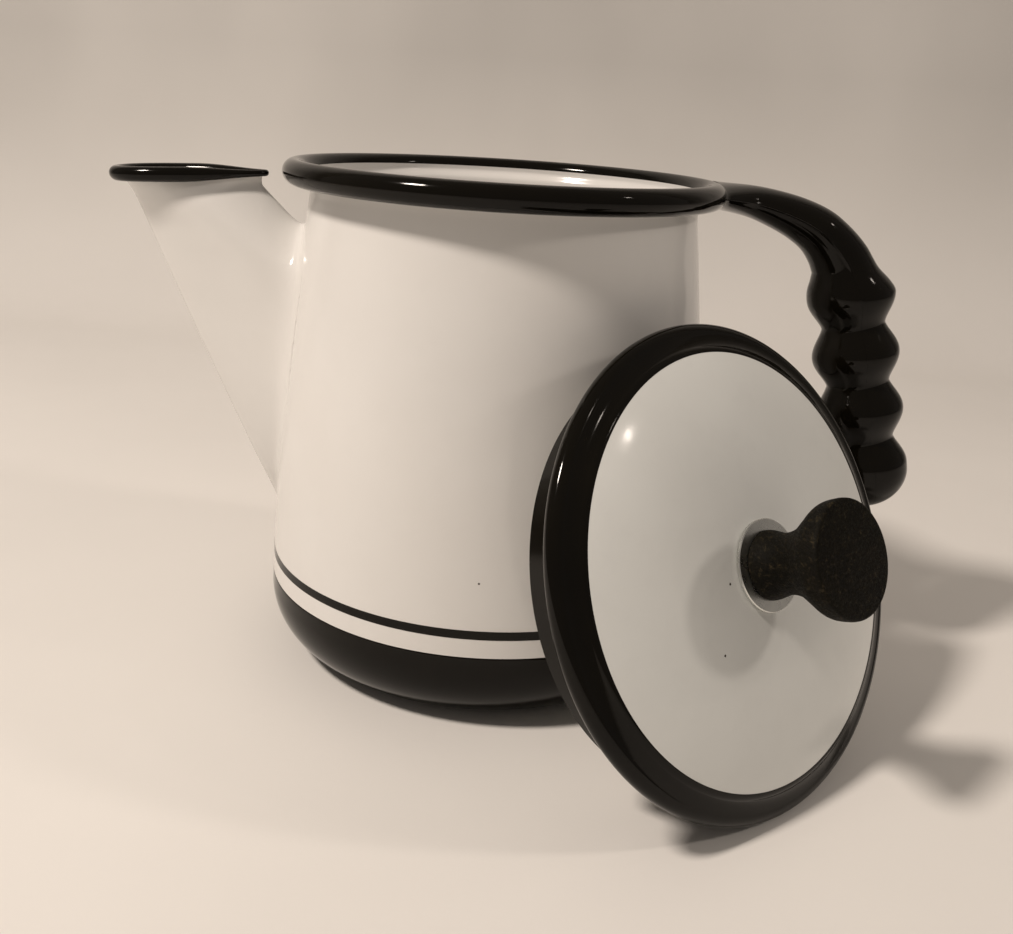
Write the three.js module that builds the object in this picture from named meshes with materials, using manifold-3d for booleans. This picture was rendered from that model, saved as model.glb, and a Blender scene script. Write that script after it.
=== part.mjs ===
// Enamelled steel coffee kettle with a pressed V spout, a hollow bead grip and a
// loose lid. Millimetres, +Z up. The origin is the middle of the base's underside,
// the spout points along -X and the handle along +X.
import * as THREE from 'three';
import { mergeVertices } from 'three/addons/utils/BufferGeometryUtils.js';
import Module from 'manifold-3d';

const wasm = await Module();
wasm.setup();

// ---- Driving dimensions ----
const sheet = 0.8;                 // body and lid sheet
const gap = 0.3;                   // clearance between neighbouring pieces
const roundSides = 40;             // facets on the large turned pieces
const smallSides = 24;             // facets on the small turned pieces

const pot = {
  height: 165.3,                   // to the top of the rim bead
  footRadius: 76.375,              // wall radius, extended down to the floor
  topRadius: 61.35,                // wall radius, extended up to the rim
  bulge: 2.896,                    // how far the wall bows out at half height
  neckFrom: 150,                   // where the wall starts to draw in under the rim
  panTop: 27.1,                    // top of the black base pan
  panCorner: 22,                   // corner radius between the flat base and the wall
  lapHeight: 6,                    // upright lap of the pan inside the wall
};
// Height and wall radius from the start of the neck to the foot of the rim's bead.
const neck = through([[147, 64.15], [150, 63.71], [153, 63.3], [155.5, 63.1], [158, 63.3], [161.1, 64.66]]);
const neckLevels = [153];
const flareLevels = [155.5, 158, 159.8];
const bead = { radius: 3.9, sheet: 0.8, wire: 2.6 };
bead.ring = 71.66 - bead.radius;
bead.z = pot.height - bead.radius;

const spout = {
  footZ: 45,                       // point of the V on the wall
  topZ: 156.4,                     // front of the mouth, under the bead
  slant: 0.0532,                   // the mouth rises slightly towards the pot
  slantStart: 135,
  mouthFront: -126.3,
  frontBow: 1.0,                   // the front edge bows out a little at half height
  beadFront: 2.4,                  // bead radius at the front of the mouth
  beadTail: 1.05,                  // bead radius at the pointed back
  beadThinFrom: -104,              // the bead thins from here to the back
  beadSheet: 0.5,
  overhang: 0.75,                  // bead centre outside the shell, as a share of its radius
  wireRadius: 1.3,
};

const strainer = { holeRadius: 2.4, pitch: 9, low: 68, high: 125, margin: 6, drill: 30 };

const grip = {
  x: 118.8,                        // middle of the first finger bead
  z: 131,
  lean: 0.236,                     // outward lean of the grip, as a sine
  pitch: 20.35,
  beads: 4,
  radius: 14.8,                    // largest half depth of a finger bead
  arc: 12.2,                       // radius of each bead's side outline
  notch: 0.47,                     // half a bead's length, as a share of the pitch
  round: 2,                        // from the last bead's middle to the start of the tip
  flatten: 0.88,                   // width across, as a share of the depth
  endLength: 13.1,                 // from the last bead's middle to the tip
  sheet: 1.0,
  ventRadius: 1.6,                 // drain hole in the tip
};

const lid = {
  domeHeight: 6.1,
  domeRadius: 61.25,
  domePower: 3.4,
  shoulder: 2.5,                   // rounding between the dome and the bead
  beadRing: 67.65,
  beadHeight: -5.0,
  beadRadius: 2.93,
  beadSheet: 0.7,
  wireRadius: 1.8,
  flangeRadius: 61.6,
  flangeTop: -1.5,
  flangeBottom: -22.2,
};

// The lid leans against the pot with its face turned out: the middle of its face's
// edge plane, how far its axis turns from -Y towards +X, and how far it looks up.
const lidRest = { x: 74.15, y: -86.75, z: 66.83, turn: 41.2, look: 24.1 };

const knob = {
  foot: 7.7,
  footRadius: 9.7,
  waist: 8.4,
  waistHeight: 14,
  face: 33.8,
  faceRadius: 15.5,
  widest: 16,
  insertRadius: 4.0,
  insertTop: 19.7,
};
const screw = { radius: 1.9, headRadius: 4.2, headBottom: -0.4, headTop: 2.1, top: 18.2, slot: 1.1 };
const washers = {
  knob: { radius: 13, bottom: 6.4, top: 7.4 },
  inner: { radius: 7, bottom: 4.0, top: 5.0 },
  lock: { radius: 4, bottom: 2.4, top: 3.7 },
};

// ---- Colours ----
const finish = {
  white: { color: 0xe9e6df, roughness: 0.18, metalness: 0 },
  black: { color: 0x0c0a09, roughness: 0.12, metalness: 0 },
  steel: { color: 0xb8b8b4, roughness: 0.3, metalness: 1 },
  brass: { color: 0xb08d4a, roughness: 0.35, metalness: 1 },
  wood: { color: 0x241811, roughness: 0.6, metalness: 0 },
};

// ---- Geometry helpers ----
function closedSolid(source) {
  const bare = source.index ? source.toNonIndexed() : source.clone();
  bare.deleteAttribute('normal');
  bare.deleteAttribute('uv');
  const merged = mergeVertices(bare, 1e-4);
  const old = merged.index.array;
  const spot = merged.getAttribute('position');
  const corners = [0, 1, 2].map(() => new THREE.Vector3());
  const kept = [];
  let volume = 0;
  for (let i = 0; i < old.length; i += 3) {
    const [a, b, c] = [old[i], old[i + 1], old[i + 2]];
    if (a === b || b === c || c === a) continue;
    [a, b, c].forEach((index, k) => corners[k].fromBufferAttribute(spot, index));
    volume += corners[0].dot(corners[1].clone().cross(corners[2]));
    kept.push([a, b, c]);
  }
  const order = volume < 0 ? [0, 2, 1] : [0, 1, 2];
  merged.setIndex(kept.flatMap((face) => order.map((k) => face[k])));
  return merged;
}

// Turns a profile of [radius, height] points about the Z axis.
function turned(profile, sides = roundSides) {
  const points = profile.map(([radius, height]) => new THREE.Vector2(radius, height));
  return closedSolid(new THREE.LatheGeometry(points, sides).rotateX(Math.PI / 2));
}

function closeProfile(profile) {
  return [...profile, profile[0]];
}

// Joins rings of equal length with quads. An open loft gets a fan on each end.
function loft(rings, endless = false) {
  const count = rings[0].length;
  const triangles = [];
  const steps = endless ? rings.length : rings.length - 1;
  for (let i = 0; i < steps; i += 1) {
    const here = rings[i];
    const next = rings[(i + 1) % rings.length];
    for (let j = 0; j < count; j += 1) {
      const k = (j + 1) % count;
      triangles.push(here[j], here[k], next[k], here[j], next[k], next[j]);
    }
  }
  if (!endless) {
    const first = rings[0];
    const last = rings[rings.length - 1];
    const flat = (ring, axes) => ring.map((p) => new THREE.Vector2(p.dot(axes[0]), p.dot(axes[1])));
    [first, last].forEach((ring, end) => {
      const faces = THREE.ShapeUtils.triangulateShape(flat(ring, ringAxes(ring)), []);
      faces.forEach(([a, b, c]) => {
        const face = [ring[a], ring[b], ring[c]];
        triangles.push(...(end === 0 ? face.reverse() : face));
      });
    });
  }
  return closedSolid(new THREE.BufferGeometry().setFromPoints(triangles));
}

// Two directions in a flat ring's plane, so that its outline can be triangulated.
function ringAxes(ring) {
  const normal = new THREE.Vector3();
  ring.forEach((p, i) => normal.add(p.clone().cross(ring[(i + 1) % ring.length])));
  normal.normalize();
  const side = Math.abs(normal.z) < 0.9 ? new THREE.Vector3(0, 0, 1) : new THREE.Vector3(1, 0, 0);
  const u = side.cross(normal).normalize();
  return [u, normal.clone().cross(u)];
}

function toManifold(geometry) {
  const vertProperties = new Float32Array(geometry.getAttribute('position').array);
  const triVerts = new Uint32Array(geometry.index.array);
  return new wasm.Manifold(new wasm.Mesh({ numProp: 3, vertProperties, triVerts }));
}

function fromManifold(solid) {
  const mesh = solid.getMesh();
  const geometry = new THREE.BufferGeometry();
  geometry.setAttribute('position', new THREE.BufferAttribute(mesh.vertProperties, 3));
  geometry.setIndex(Array.from(mesh.triVerts));
  return geometry;
}

function cut(geometry, ...tools) {
  return fromManifold(tools.reduce((solid, tool) => solid.subtract(toManifold(tool)), toManifold(geometry)));
}

// Points on a circle in a profile, from one angle to another, in degrees.
function arc(centreR, centreH, radius, from, to, steps) {
  return Array.from({ length: steps + 1 }, (_, i) => {
    const angle = THREE.MathUtils.degToRad(from + ((to - from) * i) / steps);
    return [centreR + radius * Math.cos(angle), centreH + radius * Math.sin(angle)];
  });
}

// A smooth curve through [input, value] pairs, level beyond both ends.
function through(pairs) {
  const slope = (i) => {
    if (i === 0 || i === pairs.length - 1) return 0;
    return (pairs[i + 1][1] - pairs[i - 1][1]) / (pairs[i + 1][0] - pairs[i - 1][0]);
  };
  return (x) => {
    if (x <= pairs[0][0]) return pairs[0][1];
    if (x >= pairs[pairs.length - 1][0]) return pairs[pairs.length - 1][1];
    const i = pairs.findIndex((pair) => pair[0] > x) - 1;
    const span = pairs[i + 1][0] - pairs[i][0];
    const t = (x - pairs[i][0]) / span;
    const value = (2 * t ** 3 - 3 * t ** 2 + 1) * pairs[i][1] + (3 * t ** 2 - 2 * t ** 3) * pairs[i + 1][1];
    return value + span * ((t ** 3 - 2 * t ** 2 + t) * slope(i) + (t ** 3 - t ** 2) * slope(i + 1));
  };
}

// An open curl of sheet around a wire: it starts at the wall, at 180 degrees.
function curl(ring, height, radius, thickness, from, to, steps) {
  const outside = arc(ring, height, radius, from, to, steps);
  const inside = arc(ring, height, radius - thickness, to, from, steps);
  return closeProfile([...outside, ...inside]);
}

// ---- Pot body ----
function wallRadius(z) {
  const t = z / pot.height;
  const bowed = pot.footRadius + (pot.topRadius - pot.footRadius) * t + 4 * pot.bulge * t * (1 - t);
  return z > pot.neckFrom ? neck(z) : bowed;
}

function heights(from, to, steps) {
  return Array.from({ length: steps + 1 }, (_, i) => from + ((to - from) * i) / steps);
}

function bodyWall() {
  const plain = heights(pot.panTop + gap, pot.neckFrom, 6);
  const levels = [...plain, ...neckLevels, ...flareLevels, bead.z - gap];
  const outer = levels.map((z) => [wallRadius(z), z]);
  const inner = levels.map((z) => [wallRadius(z) - sheet, z]).reverse();
  return cut(turned(closeProfile([...outer, ...inner])), ...strainerDrills());
}

// Small holes through the wall inside the spout keep the grounds in the pot.
function strainerDrills() {
  const drills = [];
  const rows = Math.floor((strainer.high - strainer.low) / strainer.pitch);
  for (let row = 0; row <= rows; row += 1) {
    const z = strainer.low + row * strainer.pitch;
    const room = spoutHalfWidth(z) - strainer.margin;
    const shift = row % 2 ? strainer.pitch / 2 : 0;
    for (let y = shift - 2 * strainer.pitch; y <= 2 * strainer.pitch; y += strainer.pitch) {
      if (Math.abs(y) > room) continue;
      const drill = new THREE.CylinderGeometry(strainer.holeRadius, strainer.holeRadius, strainer.drill, 8);
      drills.push(closedSolid(drill.rotateZ(Math.PI / 2).translate(-wallRadius(z), y, z)));
    }
  }
  return drills;
}

function basePan() {
  const corner = pot.panCorner;
  const flat = wallRadius(corner) - corner;
  const lapRadius = (z) => wallRadius(z) - sheet - gap;
  const lapTop = pot.panTop + pot.lapHeight;
  return turned([
    [0, 0],
    ...arc(flat, corner, corner, -90, 0, 5),
    [wallRadius(pot.panTop), pot.panTop],
    [lapRadius(pot.panTop), pot.panTop],
    [lapRadius(lapTop), lapTop],
    [lapRadius(lapTop) - sheet, lapTop],
    [lapRadius(pot.panTop) - sheet, pot.panTop - sheet],
    ...arc(flat, corner, corner - sheet, 0, -90, 5),
    [0, sheet],
  ]);
}

function rimBead() {
  return turned(curl(bead.ring, bead.z, bead.radius, bead.sheet, 180, -132, 8));
}

function rimWire() {
  return turned(closeProfile(arc(bead.ring, bead.z, bead.wire, 0, 315, 7)));
}

// The wall and its bead as one column, used to trim what is welded to them.
function wallColumn(clearance) {
  const levels = [...heights(pot.panTop, pot.neckFrom, 8), ...neckLevels];
  return turned([
    [0, pot.panTop],
    ...levels.map((z) => [wallRadius(z) + clearance, z]),
    ...arc(bead.ring, bead.z, bead.radius + clearance, -135, 90, 8),
    [0, bead.z + bead.radius + clearance],
  ]);
}

// ---- Spout ----
// Each pair is a height on the spout and a value there.
const spoutHalfWidth = through([
  [45, 2.4], [60, 10.5], [75, 15.5], [90, 18], [105, 18], [120, 16.3], [135, 13.6], [150, 10.6], [156.4, 10],
]);
const spoutTail = through([
  [128, -50], [134, -58], [140, -64.9], [146, -71.8], [151, -77.4], [153.6, -79.6], [156.4, -79.2],
]);
const spoutWidest = through([[45, -64], [110, -62], [128, -70], [140, -84], [150, -100], [156.4, -110]]);
const noseRound = through([[45, 0.5], [100, 0.36], [140, 0.5], [156.4, 0.8]]);
const flankStart = through([[45, 0.4], [100, 0.2], [140, 0.35], [156.4, 0.55]]);
const tailRound = through([[100, 0.9], [128, 0.6], [136, 0.42], [146, 0.28], [156.4, 0.14]]);
const mouthFlare = through([[150, 0], [156.4, 0.9]]);

function spoutFront(z) {
  const t = (z - spout.footZ) / (spout.topZ - spout.footZ);
  return -74.5 - 49.1 * t - 4 * spout.frontBow * t * (1 - t) - mouthFlare(z);
}

// One level outline of the spout, drawn in by inset, from the nose round the far side.
function spoutOutline(z, inset) {
  const front = spoutFront(z) + inset;
  const half = spoutHalfWidth(z) - inset;
  const tail = spoutTail(z) - inset;
  const wide = spoutWidest(z);
  const nose = new THREE.CubicBezierCurve(
    new THREE.Vector2(front, 0),
    new THREE.Vector2(front, noseRound(z) * half),
    new THREE.Vector2(wide + flankStart(z) * (front - wide), half),
    new THREE.Vector2(wide, half),
  );
  const back = new THREE.CubicBezierCurve(
    new THREE.Vector2(wide, half),
    new THREE.Vector2(wide + 0.5 * (tail - wide), half),
    new THREE.Vector2(tail, tailRound(z) * half),
    new THREE.Vector2(tail, 0),
  );
  const side = [...nose.getPoints(7), ...back.getPoints(6).slice(1)];
  const mirror = side.slice(1, -1).reverse().map((p) => new THREE.Vector2(p.x, -p.y));
  return [...side, ...mirror];
}

function mouthLift(x, z) {
  const blend = THREE.MathUtils.smoothstep(z, spout.slantStart, spout.topZ);
  return z + blend * spout.slant * (x - spout.mouthFront);
}

function spoutRing(z, inset, extra = 0) {
  return spoutOutline(z, inset).map((p) => new THREE.Vector3(p.x, p.y, mouthLift(p.x, z) + extra));
}

const spoutLevels = [45, 50, 57, 66, 78, 90, 102, 114, 124, 133, 140, 146, 151, 154, 156.4];

function spoutShell() {
  const outer = loft(spoutLevels.map((z) => spoutRing(z, 0)));
  const levels = spoutLevels.slice(1);
  const inner = loft([...levels.map((z) => spoutRing(z, sheet)), spoutRing(spout.topZ, sheet, 5)]);
  return cut(outer, inner, wallColumn(gap));
}

// The mouth's bead runs round the shell's top edge and thins towards its pointed back.
function mouthStations() {
  const outline = spoutOutline(spout.topZ, 0);
  return outline.map((p, i) => {
    const before = outline[(i + outline.length - 1) % outline.length];
    const after = outline[(i + 1) % outline.length];
    const along = after.clone().sub(before).normalize();
    const out = new THREE.Vector2(along.y, -along.x).negate();
    const share = THREE.MathUtils.smoothstep(p.x, spout.beadThinFrom, spoutTail(spout.topZ));
    const radius = THREE.MathUtils.lerp(spout.beadFront, spout.beadTail, share);
    const centre = p.clone().addScaledVector(out, spout.overhang * radius);
    return { centre, out, radius, z: mouthLift(centre.x, spout.topZ) + gap };
  });
}

function ringAt(station, profile) {
  return profile.map(([across, up]) => new THREE.Vector3(
    station.centre.x + across * station.out.x,
    station.centre.y + across * station.out.y,
    station.z + up,
  ));
}

function spoutRim() {
  const rings = mouthStations().map((station) => {
    const profile = curl(0, 0, station.radius, spout.beadSheet, 180, -120, 8).slice(0, -1);
    return ringAt(station, profile);
  });
  return loft(rings, true);
}

function spoutRimWire() {
  const room = spout.wireRadius + spout.beadSheet + gap;
  const stations = mouthStations();
  const start = stations.findIndex((station) => station.radius < room);
  const end = stations.length - start;
  const around = [...stations.slice(end + 1), ...stations.slice(0, start)];
  return loft(around.map((station) => ringAt(station, arc(0, 0, spout.wireRadius, 0, 300, 5))));
}

// ---- Handle ----
// Centre x and z, half depth and half width at stations along the arm, and the angle
// of its outward side above +X, in degrees.
const armStations = [
  [60, 161.3, 4.2, 24, 89], [66, 161.2, 4.3, 21, 88], [71, 160.9, 4.4, 16, 86],
  [80.5, 159.9, 5.1, 10.6, 82], [89, 157.9, 6.0, 9.4, 76], [97, 155.2, 6.9, 9.0, 68],
  [103.9, 151.7, 7.8, 9.0, 58], [109.1, 147.2, 8.7, 9.2, 45], [112.6, 143.1, 9.6, 9.7, 33],
  [114.15, 140.9, 10.1, 10.0, 21], [115.4, 138, 11.3, 10.8, 16.5], [117.35, 134.35, 13.6, 12.2, 13.2],
];
const gripEnd = (grip.beads - 1) * grip.pitch + grip.round;

// Half depth of the grip at a distance along it from the first bead's middle.
function gripDepth(along) {
  if (along > gripEnd) {
    return grip.radius * Math.sqrt(Math.max(0, 1 - ((along - gripEnd) / grip.endLength) ** 2));
  }
  const nearest = Math.min(grip.beads - 1, Math.round(along / grip.pitch)) * grip.pitch;
  const off = Math.min(Math.abs(along - nearest), grip.notch * grip.pitch);
  return grip.radius - (grip.arc - Math.sqrt(grip.arc ** 2 - off ** 2));
}

function handleStations() {
  const arm = armStations.map(([x, z, depth, width, angle]) => {
    const turn = THREE.MathUtils.degToRad(angle);
    return { x, z, depth, width, out: new THREE.Vector2(Math.cos(turn), Math.sin(turn)) };
  });
  const alongs = heights(0, (grip.beads - 1) * grip.pitch, 18);
  const tips = [0.35, 0.6, 0.8, 0.92, 0.975].map((share) => gripEnd + share * grip.endLength);
  const drop = Math.sqrt(1 - grip.lean ** 2);
  const hand = [...alongs, ...tips].map((along) => ({
    x: grip.x + grip.lean * along,
    z: grip.z - drop * along,
    depth: gripDepth(along),
    width: gripDepth(along) * grip.flatten,
    out: new THREE.Vector2(drop, grip.lean),
  }));
  return [...arm, ...hand];
}

// Half of the hollow handle. sign is 1 for the outer half and -1 for the inner half.
function handleHalf(sign) {
  const steps = 8;
  const rings = handleStations().map((station) => {
    const wallPoints = (depth, width, reverse) => Array.from({ length: steps + 1 }, (_, i) => {
      const angle = (Math.PI * (reverse ? steps - i : i)) / steps;
      const outward = sign * (gap / 2 + (depth - gap / 2) * Math.sin(angle));
      return new THREE.Vector3(
        station.x + outward * station.out.x,
        width * Math.cos(angle),
        station.z + outward * station.out.y,
      );
    });
    const innerDepth = Math.max(station.depth - grip.sheet, grip.ventRadius);
    const innerWidth = Math.max(station.width - grip.sheet, grip.ventRadius);
    return [
      ...wallPoints(station.depth, station.width, false),
      ...wallPoints(innerDepth, innerWidth, true),
    ];
  });
  return cut(loft(rings), wallColumn(gap));
}

// A steel strip inside the arm carries the load from the grip to the rim.
function handleTang() {
  const half = { width: 3.5, depth: 1.2 };
  const rings = handleStations().slice(1, armStations.length - 1).map((station) => {
    const corners = [[1, 1], [-1, 1], [-1, -1], [1, -1]];
    return corners.map(([across, outward]) => new THREE.Vector3(
      station.x + outward * half.depth * station.out.x,
      across * half.width,
      station.z + outward * half.depth * station.out.y,
    ));
  });
  return cut(loft(rings), wallColumn(gap));
}

// ---- Lid, drawn about its own axis with its face up ----
function domeTop(radius) {
  return lid.domeHeight * (1 - (radius / lid.domeRadius) ** lid.domePower);
}

function lidDome() {
  const hole = screw.radius + gap;
  const radii = [hole, 24, 38, 48, 55, lid.domeRadius - gap];
  const top = radii.map((radius) => [radius, domeTop(radius)]);
  const under = radii.map((radius) => [radius, domeTop(radius) - sheet]).reverse();
  return turned(closeProfile([...top, ...under]));
}

function lidRim() {
  const centreH = -lid.shoulder;
  const thickness = lid.beadSheet;
  return turned(closeProfile([
    ...arc(lid.domeRadius, centreH, lid.shoulder, 90, 0, 2),
    ...arc(lid.beadRing, lid.beadHeight, lid.beadRadius, 160, -150, 9),
    ...arc(lid.beadRing, lid.beadHeight, lid.beadRadius - thickness, -150, 150, 6),
    [lid.domeRadius + lid.shoulder - thickness, centreH - 1.5],
    ...arc(lid.domeRadius, centreH, lid.shoulder - thickness, 0, 90, 2),
  ]));
}

function lidRimWire() {
  return turned(closeProfile(arc(lid.beadRing, lid.beadHeight, lid.wireRadius, 0, 300, 5)));
}

function lidFlange() {
  const inner = lid.flangeRadius - sheet;
  return turned(closeProfile([
    [inner, lid.flangeBottom],
    [lid.flangeRadius, lid.flangeBottom],
    [lid.flangeRadius, lid.flangeTop],
    [inner, lid.flangeTop],
  ]));
}

function ringSolid(inner, outer, bottom, top) {
  return turned(closeProfile([[inner, bottom], [outer, bottom], [outer, top], [inner, top]]), smallSides);
}

function washer({ radius, bottom, top }) {
  return ringSolid(screw.radius + gap, radius, bottom, top);
}

function knobBody() {
  const pocket = knob.insertRadius + gap;
  const middle = (knob.foot + knob.face) / 2;
  const outside = new THREE.SplineCurve([
    new THREE.Vector2(knob.footRadius, knob.foot),
    new THREE.Vector2(knob.waist, knob.waistHeight),
    new THREE.Vector2(9.6, middle - 1.2),
    new THREE.Vector2(12.8, middle + 3.6),
    new THREE.Vector2(15.4, middle + 7.4),
    new THREE.Vector2(knob.widest, middle + 11.2),
    new THREE.Vector2(knob.faceRadius, knob.face),
  ]);
  return turned([
    [0, knob.insertTop + gap],
    [pocket, knob.insertTop + gap],
    [pocket, knob.foot],
    ...outside.getPoints(13).map((p) => [p.x, p.y]),
    [0, knob.face],
  ], smallSides);
}

function knobInsert() {
  return ringSolid(screw.radius + gap, knob.insertRadius, knob.foot + gap, knob.insertTop);
}

function knobScrew() {
  const { radius, headRadius, headBottom, headTop, top } = screw;
  const head = turned([
    [0, headBottom], [headRadius - 1, headBottom], [headRadius, headBottom + 1], [headRadius, headTop],
    [radius, headTop], [radius, top], [0, top],
  ], smallSides);
  const slot = new THREE.BoxGeometry(3 * headRadius, screw.slot, 2.4).translate(0, 0, headBottom);
  return cut(head, closedSolid(slot));
}

// ---- Assembly ----
function piece(name, geometry, look) {
  const flat = geometry.toNonIndexed();
  flat.computeVertexNormals();
  const mesh = new THREE.Mesh(flat, new THREE.MeshStandardMaterial(finish[look]));
  mesh.name = name;
  return mesh;
}

const kettle = new THREE.Group();
kettle.add(
  piece('body_wall', bodyWall(), 'white'),
  piece('base_pan', basePan(), 'black'),
  piece('rim_bead', rimBead(), 'black'),
  piece('rim_wire', rimWire(), 'steel'),
  piece('spout_shell', spoutShell(), 'white'),
  piece('spout_rim', spoutRim(), 'black'),
  piece('spout_rim_wire', spoutRimWire(), 'steel'),
  piece('handle_outer_shell', handleHalf(1), 'black'),
  piece('handle_inner_shell', handleHalf(-1), 'black'),
  piece('handle_tang', handleTang(), 'steel'),
);

const lidFace = new THREE.Group();
lidFace.add(
  piece('lid_dome', lidDome(), 'white'),
  piece('lid_rim', lidRim(), 'black'),
  piece('lid_rim_wire', lidRimWire(), 'steel'),
  piece('lid_flange', lidFlange(), 'black'),
  piece('knob', knobBody(), 'wood'),
  piece('knob_insert', knobInsert(), 'brass'),
  piece('knob_screw', knobScrew(), 'steel'),
  piece('knob_washer', washer(washers.knob), 'steel'),
  piece('lid_inner_washer', washer(washers.inner), 'steel'),
  piece('lock_washer', washer(washers.lock), 'steel'),
);
lidFace.rotation.x = THREE.MathUtils.degToRad(90 - lidRest.look);
const leaningLid = new THREE.Group();
leaningLid.add(lidFace);
leaningLid.rotation.z = THREE.MathUtils.degToRad(lidRest.turn);
leaningLid.position.set(lidRest.x, lidRest.y, lidRest.z);
kettle.add(leaningLid);

export default kettle;
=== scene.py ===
from math import asin, cos, degrees, pi, radians, sin, sqrt

import bmesh
import bpy
import numpy as np
from mathutils import Matrix, Vector


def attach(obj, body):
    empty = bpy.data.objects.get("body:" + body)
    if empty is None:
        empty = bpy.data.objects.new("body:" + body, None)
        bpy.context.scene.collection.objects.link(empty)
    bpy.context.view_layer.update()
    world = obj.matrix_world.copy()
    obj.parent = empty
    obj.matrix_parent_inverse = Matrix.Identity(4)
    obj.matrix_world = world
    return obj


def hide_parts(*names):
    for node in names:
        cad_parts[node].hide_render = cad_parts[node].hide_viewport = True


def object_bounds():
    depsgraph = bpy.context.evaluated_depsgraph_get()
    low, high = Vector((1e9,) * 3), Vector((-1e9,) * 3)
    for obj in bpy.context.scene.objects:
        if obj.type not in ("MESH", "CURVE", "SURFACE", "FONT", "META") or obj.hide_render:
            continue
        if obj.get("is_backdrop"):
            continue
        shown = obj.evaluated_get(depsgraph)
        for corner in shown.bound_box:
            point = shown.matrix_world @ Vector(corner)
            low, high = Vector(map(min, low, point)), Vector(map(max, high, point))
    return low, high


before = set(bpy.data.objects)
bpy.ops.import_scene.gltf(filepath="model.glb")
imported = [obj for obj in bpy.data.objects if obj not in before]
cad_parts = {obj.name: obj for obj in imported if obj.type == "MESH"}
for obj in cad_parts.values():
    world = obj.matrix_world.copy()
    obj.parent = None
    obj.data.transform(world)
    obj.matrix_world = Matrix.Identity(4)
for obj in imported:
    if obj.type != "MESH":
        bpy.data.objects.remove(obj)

MM = 0.001
CAD_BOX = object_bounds()


# ---- Camera ----
CAMERA_AT = (0.0, -360.77, 184.98)
CAMERA_YAW = 0.987       # degrees, from +Y towards +X
CAMERA_PITCH = -18.717   # degrees, downwards
CAMERA_ROLL = 3.631      # degrees
CAMERA_LENS, CAMERA_SENSOR = 37.91, 36.0


def make_camera():
    yaw, pitch, roll = (radians(a) for a in (CAMERA_YAW, CAMERA_PITCH, CAMERA_ROLL))
    ahead = Vector((sin(yaw) * cos(pitch), cos(yaw) * cos(pitch), sin(pitch)))
    level = Vector((cos(yaw), -sin(yaw), 0.0))
    upright = level.cross(ahead)
    right = cos(roll) * level + sin(roll) * upright
    up = -sin(roll) * level + cos(roll) * upright
    camera = bpy.data.objects.new("camera", bpy.data.cameras.new("camera"))
    bpy.context.scene.collection.objects.link(camera)
    turn = Matrix((right, up, -ahead)).transposed().to_4x4()
    camera.matrix_world = Matrix.Translation(Vector(CAMERA_AT) * MM) @ turn
    camera.data.lens = CAMERA_LENS
    camera.data.sensor_width = CAMERA_SENSOR
    camera.data.clip_start = 0.01
    bpy.context.scene.camera = camera


make_camera()

# ---- Driving dimensions, as in the CAD ----
SHEET = 0.8
SEAM = 0.3  # gap between two pieces
POT_HEIGHT = 165.3
FOOT_RADIUS, TOP_RADIUS, WALL_BULGE = 76.375, 61.35, 2.896
NECK = [  # height and wall radius from the start of the neck to the foot of the rim's bead
    (147, 64.15), (150, 63.71), (153, 63.3), (155.5, 63.1), (158, 63.3), (161.1, 64.66),
]
PAN_TOP, PAN_CORNER = 27.1, 22.0
STRIPE = (33.1, 35.9)
BEAD_RADIUS = 3.9
RIM_RADIUS = 71.66
BEAD_RING = RIM_RADIUS - BEAD_RADIUS
BEAD_Z = POT_HEIGHT - BEAD_RADIUS
LID_AT, LID_TURN, LID_LOOK = (74.15, -86.75, 66.83), 41.2, 24.1
LID = (
    Matrix.Translation(Vector(LID_AT) * MM)
    @ Matrix.Rotation(radians(LID_TURN), 4, "Z")
    @ Matrix.Rotation(radians(90 - LID_LOOK), 4, "X")
)


# ---- Mesh helpers ----
def add_mesh(name, points, faces, place=None, sharp=40):
    """A smooth-shaded mesh object from points in millimetres, moved by place if there is one.
    Edges over sharp degrees stay crisp."""
    mesh = bpy.data.meshes.new(name)
    mesh.from_pydata([tuple(float(c) * MM for c in p) for p in points], [], faces)
    if place is not None:
        mesh.transform(place)
    mesh.validate()
    build = bmesh.new()
    build.from_mesh(mesh)
    for face in build.faces:
        face.smooth = True
    for edge in build.edges:
        edge.smooth = not (len(edge.link_faces) == 2 and degrees(edge.calc_face_angle(0.0)) > sharp)
    build.to_mesh(mesh)
    build.free()
    obj = bpy.data.objects.new(name, mesh)
    bpy.context.scene.collection.objects.link(obj)
    return obj


def arc(centre_r, centre_h, radius, start, end, steps):
    """Profile points on a circle between two angles in degrees."""
    angles = np.radians(np.linspace(start, end, steps + 1))
    return [(centre_r + radius * cos(a), centre_h + radius * sin(a)) for a in angles]


def lathe(name, profile, closed=True, segments=256, place=None, sharp=40):
    """Turns (radius, height) points about Z. An open profile starts and ends on the axis."""
    points, rows = [], []
    for radius, height in profile:
        if radius < 1e-6:
            rows.append([len(points)] * segments)
            points.append((0.0, 0.0, height))
            continue
        rows.append(list(range(len(points), len(points) + segments)))
        for k in range(segments):
            angle = 2 * pi * k / segments
            points.append((radius * cos(angle), radius * sin(angle), height))
    faces = []
    pairs = list(zip(rows, rows[1:])) + ([(rows[-1], rows[0])] if closed else [])
    for low, high in pairs:
        for k in range(segments):
            m = (k + 1) % segments
            corners = [low[k], low[m], high[m], high[k]]
            faces.append([c for i, c in enumerate(corners) if c not in corners[:i]])
    return facing_out(add_mesh(name, points, [f for f in faces if len(f) > 2], place, sharp))


def facing_out(obj):
    """The same object with every face's normal turned outwards."""
    build = bmesh.new()
    build.from_mesh(obj.data)
    bmesh.ops.recalc_face_normals(build, faces=build.faces)
    build.to_mesh(obj.data)
    build.free()
    return obj


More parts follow.
